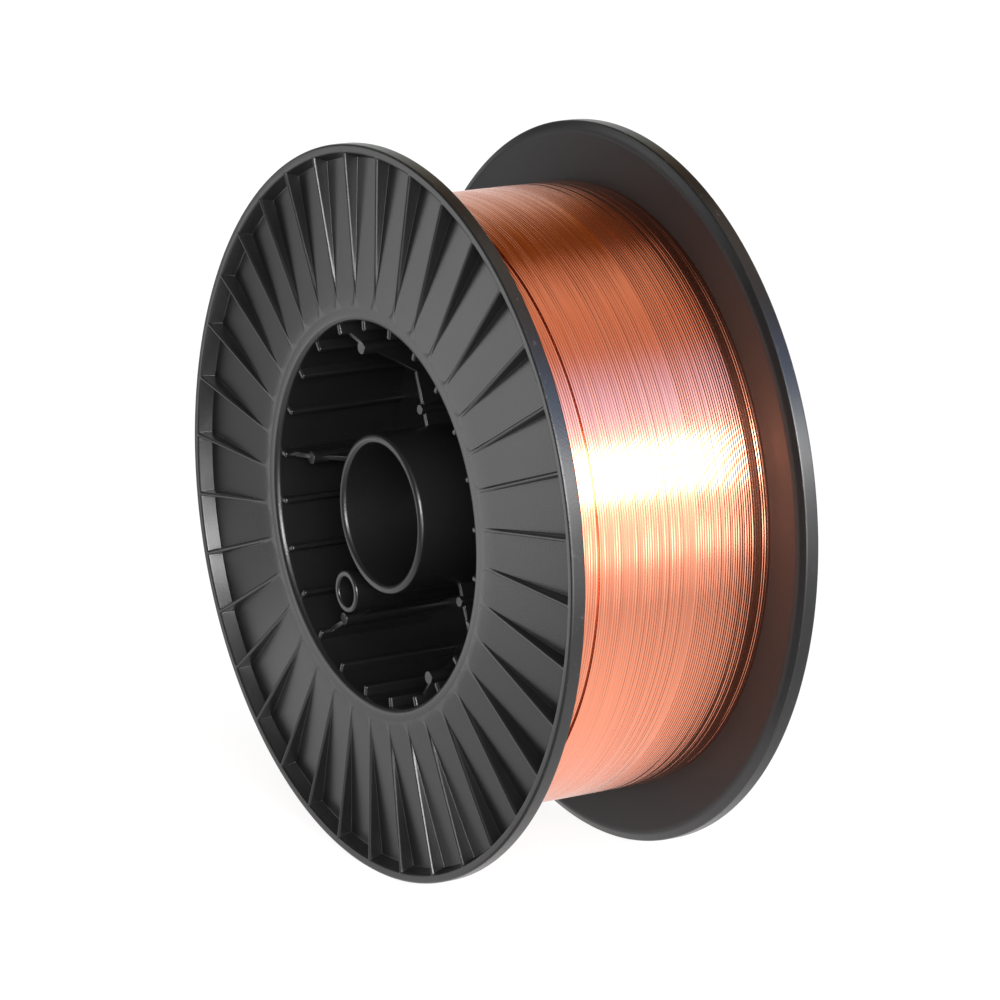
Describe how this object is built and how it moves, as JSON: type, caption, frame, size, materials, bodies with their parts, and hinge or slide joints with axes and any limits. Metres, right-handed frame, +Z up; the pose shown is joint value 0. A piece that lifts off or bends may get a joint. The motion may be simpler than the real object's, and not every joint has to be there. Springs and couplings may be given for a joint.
{
  "type": "welding wire spool",
  "caption": "Black moulded plastic spool with ribbed flanges, a central bore and a drive hole, wound with copper-coated welding wire.",
  "frame": {"origin": "centre of the bore, half way between the outer faces of the flanges", "axes": "+Y along the spool's axis, towards the back flange, +Z up, with the spool standing on its two rims"},
  "size_m": [0.27, 0.103, 0.27],
  "materials": {
    "spool_plastic": "black moulded polystyrene, satin",
    "coated_wire": "bright copper-coated drawn steel wire, layer wound"
  },
  "bodies": {
    "root": {"spool": "spool_plastic", "wire_coil": "coated_wire"}
  },
  "joints": []
}
